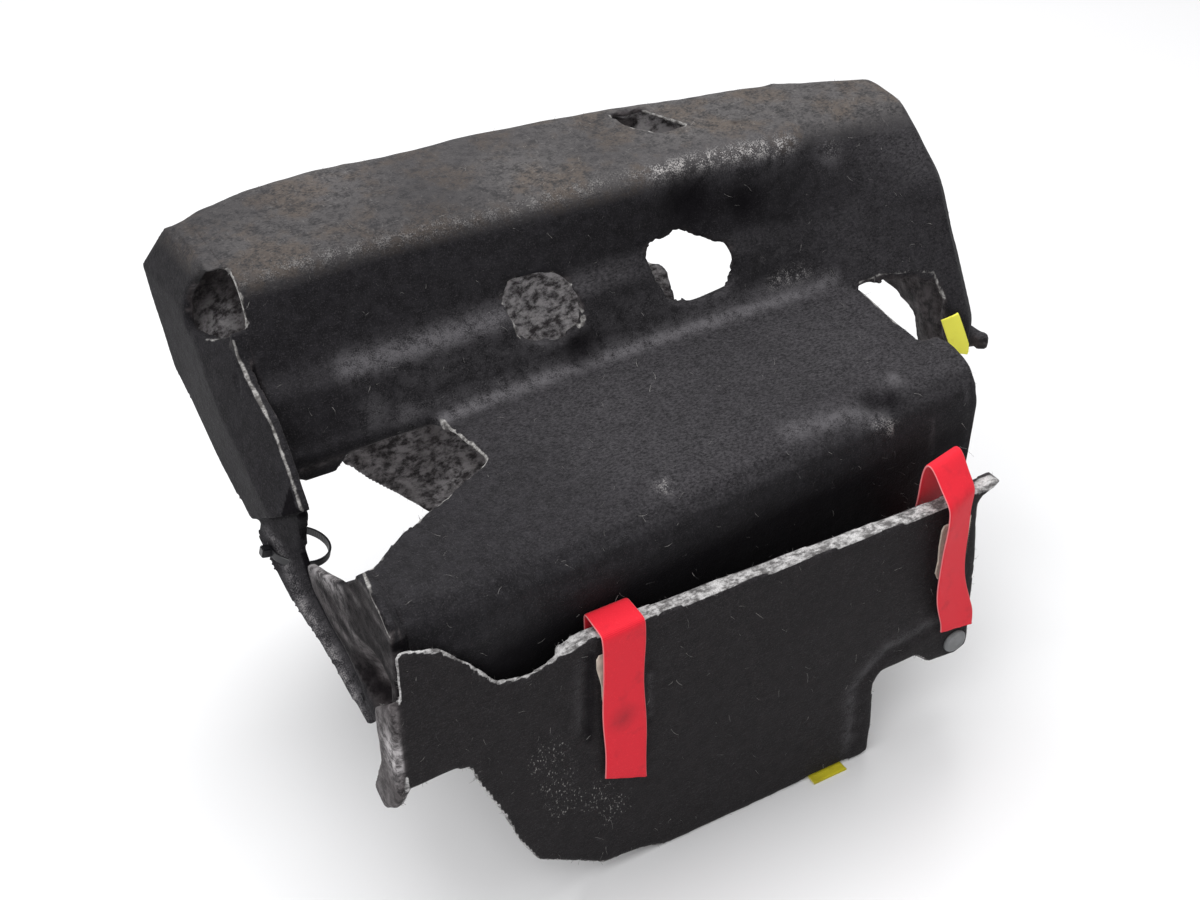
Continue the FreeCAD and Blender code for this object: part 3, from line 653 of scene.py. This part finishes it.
def scatter(name, ground, fibre, material, density, seed, chosen, tilt):
    """Threads on those points of the ground where the chosen mark is above a half, as a mesh of its own."""
    tree = bpy.data.node_groups.new(name, "GeometryNodeTree")
    tree.interface.new_socket("Geometry", in_out="INPUT", socket_type="NodeSocketGeometry")
    tree.interface.new_socket("Density", in_out="INPUT", socket_type="NodeSocketFloat").default_value = density
    tree.interface.new_socket("Seed", in_out="INPUT", socket_type="NodeSocketInt").default_value = seed
    tree.interface.new_socket("Geometry", in_out="OUTPUT", socket_type="NodeSocketGeometry")
    source = tree.nodes.new("NodeGroupInput")
    spots = tree.nodes.new("GeometryNodeDistributePointsOnFaces")
    mask = tree.nodes.new("GeometryNodeInputNamedAttribute")
    mask.data_type = "FLOAT"
    mask.inputs[0].default_value = chosen
    above = tree.nodes.new("FunctionNodeCompare")
    above.operation = "GREATER_THAN" if chosen == "cut" else "LESS_THAN"
    above.inputs[1].default_value = 0.5
    hair = tree.nodes.new("GeometryNodeObjectInfo")
    hair.inputs[0].default_value = fibre
    turn = tree.nodes.new("FunctionNodeRandomValue")
    turn.data_type = "FLOAT_VECTOR"
    turn.inputs[0].default_value = (-tilt, -tilt, 0.0)
    turn.inputs[1].default_value = (tilt, tilt, 6.28)
    size = tree.nodes.new("FunctionNodeRandomValue")
    size.data_type = "FLOAT"
    size.inputs[2].default_value = 0.35
    size.inputs[3].default_value = 1.5
    euler = tree.nodes.new("FunctionNodeRotateEuler")
    euler.space = "LOCAL"
    placed = tree.nodes.new("GeometryNodeInstanceOnPoints")
    link = tree.links.new
    link(source.outputs[0], spots.inputs["Mesh"])
    link(source.outputs[1], spots.inputs["Density"])
    link(source.outputs[2], spots.inputs["Seed"])
    link(mask.outputs[0], above.inputs[0])
    link(above.outputs[0], spots.inputs["Selection"])
    link(spots.outputs["Points"], placed.inputs["Points"])
    link(hair.outputs["Geometry"], placed.inputs["Instance"])
    link(spots.outputs["Rotation"], euler.inputs[0])
    link(turn.outputs[0], euler.inputs[1])
    link(euler.outputs[0], placed.inputs["Rotation"])
    link(size.outputs[1], placed.inputs["Scale"])
    put_out(tree, placed, material)
    bed = in_scene(name + "_bed", ground.data)
    bed.modifiers.new("fibres", "NODES").node_group = tree
    mesh = evaluated(bed)
    bpy.data.objects.remove(bed)
    for layer in [a.name for a in mesh.attributes if a.name in mark_names]:
        mesh.attributes.remove(mesh.attributes[layer])
    for vertex in mesh.vertices:
        vertex.co.z = max(vertex.co.z, 0.0)
    piece = in_scene(name, mesh)
    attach(piece, "root")


def lint_finish(name, dark, pale):
    """Dull fibre, paler and darker from place to place."""
    material = bpy.data.materials.new(name)
    add = shader(material)
    place = add("ShaderNodeTexCoord").outputs["Object"]
    tone = ramp(add, grain(add, place, 160, (1, 1, 1), (0, 0, 0), 2.0), 0.42, 0.62)
    colour = blend(add, tone, (*dark, 1), (*pale, 1))
    body = add("ShaderNodeBsdfPrincipled", Base_Color=colour)
    body.inputs["Roughness"].default_value = 0.8
    add("ShaderNodeOutputMaterial", Surface=body.outputs[0])
    return material


lint_thread = thread("lint_thread", 0.0034, 0.00016)
frayed_thread = thread("frayed_thread", 0.0016, 0.00018)
lint = lint_finish("lint", (0.030, 0.029, 0.031), (0.30, 0.29, 0.28))
fray = lint_finish("fray", (0.07, 0.068, 0.068), (0.45, 0.44, 0.43))
scatter("shell_lint", shell, lint_thread, lint, 4200.0, 3, "inner", 1.45)
scatter("shell_fray", shell, frayed_thread, fray, 60000.0, 5, "cut", 1.0)
scatter("panel_lint", panel, lint_thread, lint, 4200.0, 7, "inner", 1.45)
scatter("panel_fray", panel, frayed_thread, fray, 70000.0, 9, "cut", 1.0)
for spare in (lint_thread, frayed_thread):
    bpy.data.objects.remove(spare)

# Hook pads: cream hook tape glued on the panel below the rim, mostly hidden by the straps.
# Each is a thin soft slab with rows of small bent hooks; the left edge is cut by hand.
pad_thick = 1.0


def slab(name, outline, front, back):
    """Flat piece with an outline of (x, z) in mm between two depths, its front edge softened."""
    shape = bmesh.new()
    rings = []
    for y, shrink in ((back, 0.0), (front + 0.35, 0.0), (front, 0.4)):
        mid_x = sum(x for x, z in outline) / len(outline)
        mid_z = sum(z for x, z in outline) / len(outline)
        ring = []
        for x, z in outline:
            run = math.hypot(x - mid_x, z - mid_z)
            ring.append(shape.verts.new(at(x - shrink * (x - mid_x) / run, y, z - shrink * (z - mid_z) / run)))
        rings.append(ring)
    join_rings(shape, rings)
    shape.faces.new(rings[0])
    shape.faces.new(rings[-1][::-1])
    bmesh.ops.recalc_face_normals(shape, faces=shape.faces)
    return built(name, shape)


def plain(name, colour, roughness, bump_size=0.0, mottle=0.25):
    """Plain finish with a slight mottle and, where bump_size is set, a fine grain."""
    material = bpy.data.materials.new(name)
    add = shader(material)
    place = add("ShaderNodeTexCoord").outputs["Object"]
    tone = ramp(add, grain(add, place, 220, (1, 1, 1), (0, 0, 0), 3.0), 0.35, 0.70)
    darker = tuple(c * (1 - mottle) for c in colour)
    mixed = blend(add, tone, (*darker, 1), (*colour, 1))
    height = grain(add, place, 1800, (1, 1, 1), (0, 0, 0), 2.0)
    bump = add("ShaderNodeBump", Strength=0.5 if bump_size else 0.0, Distance=bump_size, Height=height)
    body = add("ShaderNodeBsdfPrincipled", Base_Color=mixed, Normal=bump.outputs[0])
    body.inputs["Roughness"].default_value = roughness
    add("ShaderNodeOutputMaterial", Surface=body.outputs[0])
    return material


def rows(name, unit, material, start, step_a, count_a, step_b, count_b):
    """Copies of a unit mesh object in a grid of two steps, made by one node tree, as a mesh of its own."""
    tree = bpy.data.node_groups.new(name, "GeometryNodeTree")
    tree.interface.new_socket("Rows", in_out="INPUT", socket_type="NodeSocketInt").default_value = count_a
    tree.interface.new_socket("Columns", in_out="INPUT", socket_type="NodeSocketInt").default_value = count_b
    tree.interface.new_socket("Geometry", in_out="OUTPUT", socket_type="NodeSocketGeometry")
    source = tree.nodes.new("NodeGroupInput")
    first = tree.nodes.new("GeometryNodeMeshLine")
    first.inputs["Start Location"].default_value = start
    first.inputs["Offset"].default_value = step_a
    second = tree.nodes.new("GeometryNodeMeshLine")
    second.inputs["Offset"].default_value = step_b
    copied = tree.nodes.new("GeometryNodeInstanceOnPoints")
    spread = tree.nodes.new("GeometryNodeRealizeInstances")
    shape = tree.nodes.new("GeometryNodeObjectInfo")
    shape.inputs[0].default_value = unit
    placed = tree.nodes.new("GeometryNodeInstanceOnPoints")
    link = tree.links.new
    link(source.outputs[0], first.inputs["Count"])
    link(source.outputs[1], second.inputs["Count"])
    link(first.outputs[0], copied.inputs["Points"])
    link(second.outputs[0], copied.inputs["Instance"])
    link(copied.outputs[0], spread.inputs[0])
    link(spread.outputs[0], placed.inputs["Points"])
    link(shape.outputs["Geometry"], placed.inputs["Instance"])
    put_out(tree, placed, material)
    bed = in_scene(name, bpy.data.meshes.new(name))
    bed.modifiers.new("rows", "NODES").node_group = tree
    mesh = evaluated(bed)
    bed.modifiers.clear()
    bed.data = mesh
    return bed


cream = plain("cream_hook_tape", (0.66, 0.58, 0.49), 0.75, 0.0003)
hook = thread("hook", 0.0009, 0.00022)
for vertex in hook.data.vertices:
    vertex.co = Vector((vertex.co.x, -vertex.co.z, vertex.co.y))
left_pad = [(-1.0, 169.5), (-2.4, 167), (-2.2, 160), (-0.8, 154), (0.6, 147), (1.0, 138), (2, 131), (17, 131),
            (17, 169.5)]
right_pad = [(214.5, 161), (213.2, 158), (213.0, 146), (213.8, 136), (213.2, 127), (215.5, 122), (233, 122),
             (233, 161)]
for node, outline in (("strap_pad_left", left_pad), ("strap_pad_right", right_pad)):
    pad = slab(node + "_tape", outline, -pad_thick, -0.05)
    pad.data.materials.append(cream)
    low_x, low_z = min(x for x, z in outline) + 4.2, min(z for x, z in outline) + 2
    hooks = rows(node + "_hooks", hook, cream, at(low_x, -pad_thick, low_z),
                 (0.0014, 0, 0), 12, (0, 0, 0.0016), 22)
    for piece in (pad, hooks):
        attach(piece, "root")
    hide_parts(node)
bpy.data.objects.remove(hook)

# Red straps: woven hook-and-loop tape, sewn to the front drop and folded over the rim of the panel.
# They close on the cream pads; the right one is slack and twisted, and both ends are cut aslant.
strap_width, strap_thick = 25.0, 1.5


def tape_mesh(name, path, middle, width, thick, low=None, slant=0.0):
    """Closed tape with thinned long edges, UV in mm across and along. Each row of the path gives y and z
    of the tape's middle in mm, its turn about the upright in degrees and its shift to the right.
    With low, the end in front of the panel is cut off aslant there."""
    line = np.array(path, float)
    for _ in range(3):
        cut_in = line[:-1] * 0.75 + line[1:] * 0.25
        cut_out = line[:-1] * 0.25 + line[1:] * 0.75
        line = np.vstack([line[:1], np.stack([cut_in, cut_out], 1).reshape(-1, 4), line[-1:]])
    way = np.concatenate([[0], np.cumsum(np.linalg.norm(np.diff(line[:, :2], axis=0), axis=1))])
    steps = np.linspace(0, way[-1], int(way[-1] / 1.2) + 1)
    line = np.stack([np.interp(steps, way, line[:, k]) for k in range(4)], 1)
    heading = np.gradient(line[:, :2], axis=0)
    heading /= np.linalg.norm(heading, axis=1)[:, None]
    side = np.stack([heading[:, 1], -heading[:, 0]], 1)
    half = width / 2
    across = [-half, -half + 0.35, *np.linspace(-half + 1.2, half - 1.2, 11), half - 0.35, half]
    full = [0.3, 0.75, *[1.0] * 11, 0.75, 0.3]
    rim = [(u, 0.5 - 0.5 * f) for u, f in zip(across, full)]
    rim += [(u, 0.5 + 0.5 * f) for u, f in zip(across[::-1], full[::-1])]
    shape = bmesh.new()
    uv = shape.loops.layers.uv.new("tape")
    rings = []
    for s, (y, z, turn, shift), (ny, nz) in zip(steps, line, side):
        ring = []
        turn = math.radians(turn)
        for u, depth in rim:
            offset = depth * thick
            ripple = 0.35 * math.sin(s / 9.0 + 0.8 * math.copysign(1, u)) * (abs(u) / half) ** 3
            px = (u + ripple) * math.cos(turn) + shift
            py = y + ny * offset + u * math.sin(turn)
            pz = z + nz * offset
            if low is not None and y < 6.0:
                pz = max(pz, low - slant * u / half + 0.2 * math.sin(u * 2.1))
            ring.append(shape.verts.new(at(middle + px, py, pz)))
        rings.append(ring)
    count = len(rim)
    for i in range(len(rings) - 1):
        for k in range(count):
            j = (k + 1) % count
            face = shape.faces.new((rings[i][k], rings[i][j], rings[i + 1][j], rings[i + 1][k]))
            wide = (rim[k][0], rim[j][0])
            for loop, (u, v) in zip(face.loops, ((wide[0], steps[i]), (wide[1], steps[i]),
                                                 (wide[1], steps[i + 1]), (wide[0], steps[i + 1]))):
                loop[uv].uv = (u, v)
            face.smooth = True
    for ring in (rings[0][::-1], rings[-1]):
        shape.faces.new(ring)
    bmesh.ops.remove_doubles(shape, verts=shape.verts, dist=2e-6)
    bmesh.ops.recalc_face_normals(shape, faces=shape.faces)
    return built(name, shape)


def woven(name, yarn, yarn_dark, stain, rib, edge, stain_at, stain_size):
    """Woven tape: cross ribs and yarns from the UV in mm, paler long edges, one grease stain and faint grime."""
    material = bpy.data.materials.new(name)
    add = shader(material)
    uv = add("ShaderNodeUVMap", {"uv_map": "tape"}).outputs[0]
    place = add("ShaderNodeTexCoord").outputs["Object"]
    weft = add("ShaderNodeTexWave", {"bands_direction": "Y"}, Vector=uv, Scale=rib, Distortion=1.2, Detail=2.0)
    warp = add("ShaderNodeTexWave", {"bands_direction": "X"}, Vector=uv, Scale=rib * 0.8, Distortion=0.8,
               Detail=2.0)
    weave = times(add, weft.outputs["Fac"], times(add, warp.outputs["Fac"], 0.6), "MAXIMUM")
    cloud = grain(add, place, 90, (1, 1, 1), (0, 0, 0), 4.0)
    fuzz = grain(add, place, 900, (1, 1, 1), (0, 0, 0), 2.0)
    colour = blend(add, weave, (*yarn_dark, 1), (*yarn, 1))
    lighter = [min(1, c * 1.2 + 0.03) for c in yarn]
    colour = blend(add, times(add, ramp(add, fuzz, 0.55, 0.8), 0.35), colour, (*lighter, 1))
    colour = blend(add, times(add, ramp(add, cloud, 0.52, 0.75), 0.22), colour, (*stain, 1))
    gap = add("ShaderNodeVectorMath", {"operation": "DISTANCE"}, i0=place, i1=stain_at).outputs["Value"]
    grease = times(add, ramp(add, gap, stain_size, 0.0), times(add, cloud, 1.4))
    colour = blend(add, times(add, grease, 0.7), colour, (*stain, 1))
    across = add("ShaderNodeSeparateXYZ", Vector=uv).outputs[0]
    aside = add("ShaderNodeMath", {"operation": "ABSOLUTE"}, i0=across).outputs[0]
    selvedge = times(add, ramp(add, aside, edge - 0.5, edge - 0.1), 0.5)
    colour = blend(add, selvedge, colour, (*[min(1, 0.5 * c + 0.42) for c in yarn], 1))
    height = times(add, times(add, weave, 0.7), times(add, fuzz, 0.4), "ADD")
    bump = add("ShaderNodeBump", Strength=0.5, Distance=0.0004, Height=height)
    body = add("ShaderNodeBsdfPrincipled", Base_Color=colour, Normal=bump.outputs[0])
    body.inputs["Roughness"].default_value = 0.7
    body.inputs["Specular IOR Level"].default_value = 0.25
    body.inputs["Sheen Weight"].default_value = 0.05
    add("ShaderNodeOutputMaterial", Surface=body.outputs[0])
    return material


red_weave = woven("red_weave", (0.82, 0.013, 0.034), (0.64, 0.008, 0.022), (0.22, 0.006, 0.014), 0.55, 12.5,
                  at(12, -2, 122), 0.013)
left_way = [(14.0, 150, 0, 0), (14.0, 178, 0, 0), (14.0, 183.6, 0, 0), (12.6, 184.4, 1, 0), (2, 183.9, 2, 0),
            (-1.6, 183.5, 2, 0), (-2.7, 182.4, 3, 0), (-2.6, 174, 4, 0.4), (-2.4, 150, 3, 0), (-2.0, 120, 1, 1.2),
            (-1.8, 95, 0, 2.6), (-1.8, 64, 0, 2.8)]
right_way = [(33, 130, 0, 0), (33, 137, 0, 0), (26, 147, 3, 0), (18.5, 158, 8, 0), (16.6, 170, 11, 0),
             (16.6, 188, 12, 0), (15.4, 195, 13, 0), (12.6, 197.0, 13, 0), (8.8, 195, 13, 0), (2.4, 188.5, 15, 0),
             (-5.2, 182, 18, 0), (-5.9, 177, 21, -0.2), (-6.3, 167, 23.5, -1.0), (-5.2, 150, 18, -0.4),
             (-4.9, 132, 16, 0.4), (-4.3, 114, 13.5, 3.0), (-3.2, 98, 9, 8.4), (-2.3, 86, 4.6, 13.2),
             (-2.1, 70, 3, 14.2)]
strap_left = tape_mesh("strap_left", left_way, 11.6, strap_width, strap_thick, 75.0, 6.2)
strap_right = tape_mesh("strap_right", right_way, 219.5, strap_width, strap_thick, 79.0, 3.0)
for strap, node in ((strap_left, "red_strap_left"), (strap_right, "red_strap_right")):
    strap.data.materials.append(red_weave)
    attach(strap, "root")
    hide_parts(node)

# Yellow strap ends: plain woven tape, one glued on the cheek, one passed under the panel's lower edge.
# The lower one lies in the shade; its olive colour is the yellow weave darkened as painted shade.
under_way = [(10.6, 38, 0, 0), (10.6, 0.1, 0, 0), (-5, 0.1, 0, 0)]
strap_under = tape_mesh("strap_under", under_way, 151.5, 23.0, 1.2)
strap_under.data.materials.append(woven("shaded_yellow_weave", (0.66, 0.58, 0.02), (0.50, 0.43, 0.015),
                                        (0.20, 0.16, 0.01), 0.7, 11.5, at(140, -5, 0), 0.012))
cheek_tape = in_scene("strap_cheek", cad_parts["yellow_strap_right"].data.copy())
tape = bmesh.new()
tape.from_mesh(cheek_tape.data)
bmesh.ops.remove_doubles(tape, verts=tape.verts, dist=2e-5)
for _ in range(4):
    long_edges = [e for e in tape.edges if e.calc_length() > 0.0016]
    bmesh.ops.subdivide_edges(tape, edges=long_edges, cuts=1)
    bmesh.ops.triangulate(tape, faces=tape.faces)
flat = tape.loops.layers.uv.new("tape")
slope = math.radians(17)
for face in tape.faces:
    for loop in face.loops:
        x, z = (loop.vert.co.x - at_x(299.8)) * 1000, (loop.vert.co.z - at(0, 0, 195).z) * 1000
        loop[flat].uv = (x * math.cos(slope) + z * math.sin(slope), z * math.cos(slope) - x * math.sin(slope))
tape.to_mesh(cheek_tape.data)
tape.free()
cheek_tape.data.materials.clear()
cheek_tape.data.materials.append(woven("yellow_weave", (1.0, 0.97, 0.12), (0.98, 0.92, 0.09),
                                       (0.70, 0.58, 0.03), 0.7, 6.0, at(300, 100, 180), 0.008))
for strap, node in ((strap_under, "yellow_strap_bottom"), (cheek_tape, "yellow_strap_right")):
    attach(strap, "root")
    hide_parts(node)

# Cable tie: black nylon loop through the slot in the stay, its head on the outer side.
# The band is toothed inside; it is left loose.
tie_at, tie_radius, tie_width, tie_thick, tie_tilt = at(-99.5, 142.3, 173), 15.4, 4.4, 1.3, 14.5
tie_steps = 144
ring = bmesh.new()
loops = []
for i in range(tie_steps):
    a = 2 * math.pi * i / tie_steps
    inside = tie_radius + (0.22 if i % 2 else 0.0)
    outside = tie_radius + tie_thick
    section = ((inside, 0.25), (inside, tie_width - 0.25), (outside - 0.25, tie_width),
               (outside, tie_width - 0.4), (outside, 0.4), (outside - 0.25, 0.0))
    loops.append([ring.verts.new((r * math.cos(a) / 1000, r * math.sin(a) / 1000, z / 1000))
                  for r, z in section])
for i in range(tie_steps):
    near, far = loops[i], loops[(i + 1) % tie_steps]
    for k in range(6):
        ring.faces.new((near[k], far[k], far[(k + 1) % 6], near[(k + 1) % 6]))
head = bmesh.ops.create_cube(ring, size=1.0)["verts"]
for vertex in head:
    vertex.co = Vector((vertex.co.x * 5.0 - tie_radius - 3.3, vertex.co.y * 5.0, vertex.co.z * 5.5 + 2.2)) / 1000
edges = list({e for v in head for e in v.link_edges})
bmesh.ops.bevel(ring, geom=edges, offset=0.0006, segments=2, affect="EDGES")
bmesh.ops.recalc_face_normals(ring, faces=ring.faces)
tilted = Matrix.Translation(tie_at) @ Matrix.Rotation(math.radians(tie_tilt), 4, "Y")
bmesh.ops.transform(ring, verts=ring.verts, matrix=tilted)
tie = built("tie_loop", ring)
nylon = plain("black_nylon", (0.012, 0.012, 0.014), 0.34)
tie.data.materials.append(nylon)
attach(tie, "root")
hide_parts("cable_tie")

# Push-in clip: black plastic stem with ribs, standing on the inner face of the stay.
# The ribs are thin cones, all alike, spaced along the stem by one node tree.
stem_at, stem_radius, stem_length = at(-106, 50, 149), 2.7, 19.0
rib_radius, rib_pitch, rib_count = 3.9, 2.2, 6


def turned(name, outline, sides=32):
    """Turned piece about +X from (x, radius) in mm, closed at both ends."""
    shape = bmesh.new()
    rings = []
    for x, r in outline:
        rings.append([shape.verts.new((x / 1000, r * math.cos(2 * math.pi * k / sides) / 1000,
                                       r * math.sin(2 * math.pi * k / sides) / 1000)) for k in range(sides)])
    join_rings(shape, rings)
    shape.faces.new(rings[0])
    shape.faces.new(rings[-1][::-1])
    bmesh.ops.recalc_face_normals(shape, faces=shape.faces)
    return built(name, shape)


stem = turned("clip_stem", [(-1.0, stem_radius), (stem_length, stem_radius), (stem_length + 1.0, 1.6),
                            (stem_length + 1.5, 0.7)])
stem.data.transform(Matrix.Translation(stem_at))
stem.data.materials.append(nylon)
rib = turned("clip_rib", [(0.0, 2.5), (0.15, rib_radius - 0.1), (0.35, rib_radius), (0.6, rib_radius - 0.2),
                          (1.5, 2.5)], 24)
first_rib = stem_at + Vector((0.0045, 0, 0))
ribs = rows("clip_ribs", rib, nylon, first_rib, (rib_pitch / 1000, 0, 0), rib_count, (0, 0, 0), 1)
bpy.data.objects.remove(rib)
for piece in (stem, ribs):
    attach(piece, "root")
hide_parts("fir_tree_clip")

# Button: grey plastic disc at the lower right of the panel, with a rounded edge and a shallow dish.
button_at, button_radius, button_thick = at(236, 0, 65), 7.5, 2.0
button = turned("grey_button", [(-0.1, button_radius - 0.4), (0.2, button_radius), (1.0, button_radius),
                                (1.6, button_radius - 0.4), (button_thick, button_radius - 1.3),
                                (button_thick - 0.05, 5.4), (button_thick - 0.3, 4.4),
                                (button_thick - 0.35, 0.4)], 48)
button.data.transform(Matrix.Translation(button_at) @ Matrix.Rotation(math.radians(-90), 4, "Z"))
button.data.polygons.foreach_set("use_smooth", [True] * len(button.data.polygons))
button.data.materials.append(plain("grey_plastic", (0.17, 0.175, 0.18), 0.45))
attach(button, "root")
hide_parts("panel_button")

# Floor: one pale sheet, lit by large soft lamps and the white room.
sheet = bmesh.new()
bmesh.ops.create_grid(sheet, x_segments=2, y_segments=2, size=6.0)
floor = built("floor", sheet)
white = bpy.data.materials.new("white_table")
add = shader(white)
paint = add("ShaderNodeBsdfPrincipled", Base_Color=(0.80, 0.80, 0.81, 1), Roughness=0.35)
add("ShaderNodeOutputMaterial", Surface=paint.outputs[0])
floor.data.materials.append(white)

world = bpy.data.worlds.new("room")
bpy.context.scene.world = world
world.use_nodes = True
world.node_tree.nodes["Background"].inputs[0].default_value = (1.0, 1.0, 1.0, 1)
world.node_tree.nodes["Background"].inputs[1].default_value = 0.62
for name, place, aim, size, power in (("lamp_top", (0.1, 0.5, 1.9), (0, 0, 0.2), 1.6, 34.0),
                                      ("lamp_left", (-1.1, -0.6, 1.5), (0, 0, 0.2), 1.0, 12.0)):
    lamp = bpy.data.lights.new(name, "AREA")
    lamp.size = size
    lamp.energy = power
    light = bpy.data.objects.new(name, lamp)
    light.location = place
    light.rotation_euler = (Vector(aim) - Vector(place)).to_track_quat("-Z", "Y").to_euler()
    bpy.context.scene.collection.objects.link(light)

# Camera at the photograph's viewing angle.
lens = bpy.data.cameras.new("camera")
lens.sensor_width = 36.0
lens.lens = 54.0
camera = bpy.data.objects.new("camera", lens)
camera.location = (corner.x - 0.2061, corner.y - 0.5492, 0.7921)
camera.rotation_euler = (math.radians(52), 0, math.radians(-30))
bpy.context.scene.collection.objects.link(camera)
bpy.context.scene.camera = camera
bpy.context.scene.view_settings.view_transform = "Standard"
